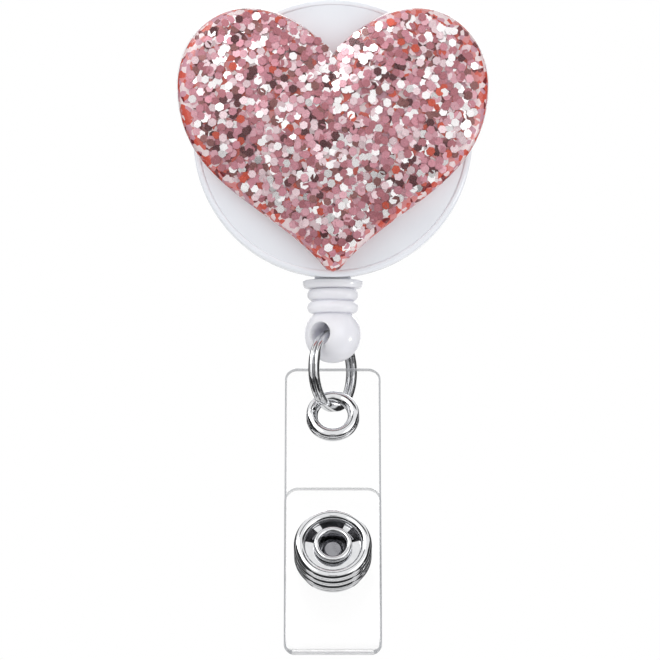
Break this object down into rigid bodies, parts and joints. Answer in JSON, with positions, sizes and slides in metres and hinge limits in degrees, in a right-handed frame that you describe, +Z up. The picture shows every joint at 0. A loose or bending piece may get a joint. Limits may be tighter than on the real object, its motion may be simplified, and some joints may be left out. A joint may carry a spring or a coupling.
{
  "type": "retractable badge reel",
  "caption": "Retractable badge reel with a glitter heart on its round case, a ribbed cord end, a split ring, a clear strap with a press stud and a swivel spring clip.",
  "frame": {"origin": "centre of the bite of the spring clip's jaws, where the clip holds a pocket edge or belt", "axes": "+X to the right seen from the front, +Y away from the viewer, so that the heart faces -Y, +Z up along the hanging object"},
  "size_m": [0.0358, 0.0323, 0.0754],
  "materials": {
    "white_plastic": "smooth glossy white",
    "spool_plastic": "moulded white",
    "glitter_resin": "clear domed resin filled with rose glitter",
    "coral_plastic": "coral plastic blank",
    "glue": "clear adhesive",
    "clear_vinyl": "clear flexible vinyl",
    "chrome_metal": "bright nickel plate",
    "clip_metal": "nickel-plated sheet steel",
    "spring_steel": "bare spring steel",
    "cord": "white nylon cord"
  },
  "bodies": {
    "base": {"clip_base_jaw": "clip_metal", "clip_hinge_pin": "clip_metal", "clip_torsion_spring": "spring_steel", "swivel_washer": "clip_metal"},
    "lever": {"clip_lever_jaw": "clip_metal"},
    "reel": {"swivel_rivet": "clip_metal", "rear_cover": "white_plastic", "front_cover": "white_plastic", "cord_run": "cord", "glue_pad": "glue", "heart_back": "coral_plastic", "heart_dome": "glitter_resin"},
    "drum": {"spool": "spool_plastic", "power_spring": "spring_steel", "cord_winding": "cord"},
    "cord": {"cord_tail": "cord", "cord_knot": "cord"},
    "fitting": {"cord_end_fitting": "white_plastic"},
    "ring": {"split_ring": "chrome_metal"},
    "strap": {"strap_rear_leaf": "clear_vinyl", "strap_fold": "clear_vinyl", "strap_eyelet": "chrome_metal", "strap_eyelet_washer": "chrome_metal", "snap_stud": "chrome_metal", "snap_stud_post": "chrome_metal"},
    "flap": {"strap_front_flap": "clear_vinyl", "snap_socket_base": "chrome_metal", "snap_socket_rim": "chrome_metal", "snap_socket_spring": "spring_steel", "snap_socket_post": "chrome_metal"}
  },
  "joints": [
    {"name": "clip_open", "type": "hinge", "parent": "base", "child": "lever", "pos_m": [0, 0.0025, 0.0165], "axis": [1, 0, 0], "range_deg": [0, 30], "stiffness_Nm_per_rad": 0.008, "springref_deg": -20.05, "deforming": ["clip_torsion_spring"]},
    {"name": "clip_swivel", "type": "hinge", "parent": "base", "child": "reel", "pos_m": [0, -0.003, 0.012], "axis": [0, 1, 0], "continuous": true},
    {"name": "spool_spin", "type": "hinge", "parent": "reel", "child": "drum", "pos_m": [0, -0.00655, 0.012], "axis": [0, 1, 0], "range_deg": [0, 3623], "deforming": ["power_spring"]},
    {"name": "cord_pull", "type": "slide", "parent": "reel", "child": "cord", "axis": [0, 0, -1], "range_m": [0, 0.6], "stiffness_N_per_m": 1.33, "springref_m": -0.6, "deforming": ["cord_tail"]},
    {"name": "fitting_twist", "type": "hinge", "parent": "cord", "child": "fitting", "pos_m": [0, -0.00655, -0.01034], "axis": [0, 0, 1], "continuous": true},
    {"name": "ring_swing", "type": "hinge", "parent": "fitting", "child": "ring", "pos_m": [0, -0.00655, -0.01034], "axis": [-0.5, -0.866, 0], "range_deg": [-60, 60]},
    {"name": "strap_swing", "type": "hinge", "parent": "ring", "child": "strap", "pos_m": [0, -0.00655, -0.0175], "axis": [1, 0, 0], "range_deg": [-25, 65]},
    {"name": "flap_open", "type": "hinge", "parent": "strap", "child": "flap", "pos_m": [0, -0.02115, -0.04538], "axis": [1, 0, 0], "range_deg": [0, 95]}
  ],
  "couplings": [
    {"joint": "spool_spin", "follows": "cord_pull", "rad_per_m": 105.26}
  ]
}
